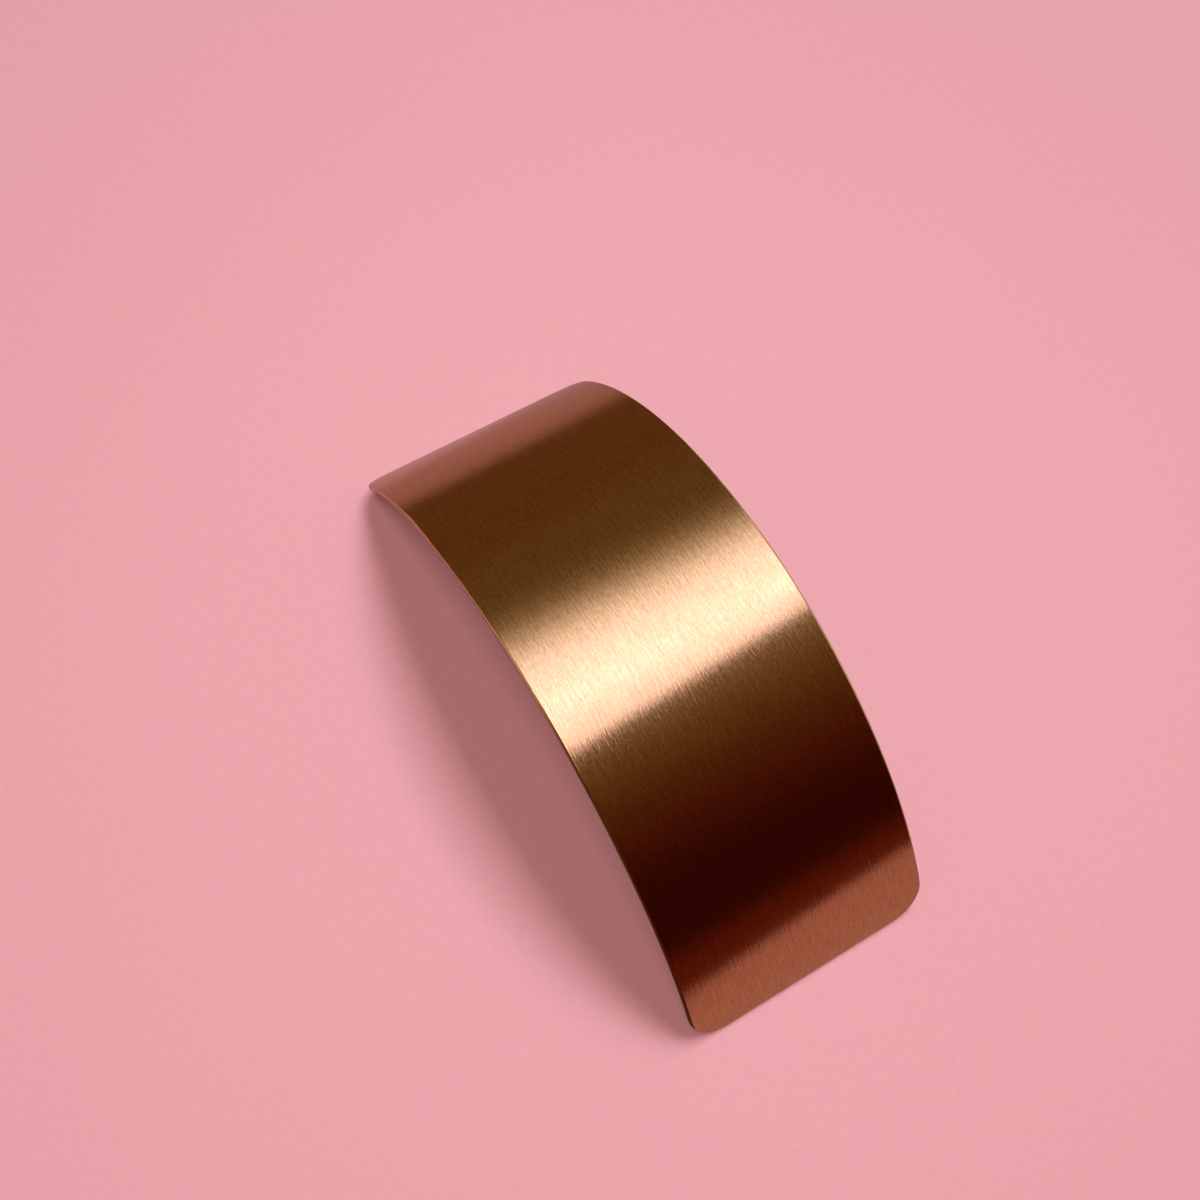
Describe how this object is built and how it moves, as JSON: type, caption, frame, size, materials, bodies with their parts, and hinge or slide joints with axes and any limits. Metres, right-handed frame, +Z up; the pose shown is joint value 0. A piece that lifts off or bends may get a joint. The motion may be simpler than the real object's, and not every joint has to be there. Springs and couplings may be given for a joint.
{
  "type": "hair clip",
  "caption": "Automatic barrette: an arched satin brass cover plate over a sprung steel clip with a hinged arm and a squeeze latch.",
  "frame": {"origin": "on the surface it stands on, midway between the plate's two ends and its two long edges", "axes": "+Z up, towards the crest of the arch; +X along the clip, towards the hinge; +Y across it"},
  "size_m": [0.076, 0.03, 0.0232],
  "materials": {
    "satin_brass": "satin brass, brushed lengthwise",
    "solder": "dull tin solder",
    "plated_steel": "nickel-plated pressed steel",
    "spring_steel": "bright rolled spring steel",
    "latch_steel": "nickel-plated spring steel",
    "pin_steel": "polished riveted steel"
  },
  "bodies": {
    "base": {"cover_plate": "satin_brass", "bond_film": "solder", "base_bar": "plated_steel", "hinge_pin": "pin_steel", "tension_bar": "spring_steel", "latch_spring": "latch_steel", "latch_rivet": "pin_steel"},
    "arm": {"clasp_arm": "plated_steel"},
    "tab_left": {"latch_tab_left": "latch_steel"},
    "tab_right": {"latch_tab_right": "latch_steel"}
  },
  "joints": [
    {"name": "arm_hinge", "type": "hinge", "parent": "base", "child": "arm", "pos_m": [0.02839, 0, 0.00504], "axis": [0, -1, 0], "range_deg": [0, 100]},
    {"name": "squeeze_left", "type": "hinge", "parent": "base", "child": "tab_left", "pos_m": [-0.02973, 0.00295, 0.00854], "axis": [-0.6905, 0, -0.7233], "range_deg": [0, 7], "stiffness_Nm_per_rad": 0.06},
    {"name": "squeeze_right", "type": "hinge", "parent": "base", "child": "tab_right", "pos_m": [-0.02973, -0.00295, 0.00854], "axis": [0.6905, 0, 0.7233], "range_deg": [0, 7], "stiffness_Nm_per_rad": 0.06}
  ],
  "couplings": [
    {"joint": "squeeze_right", "follows": "squeeze_left", "ratio": 1}
  ]
}
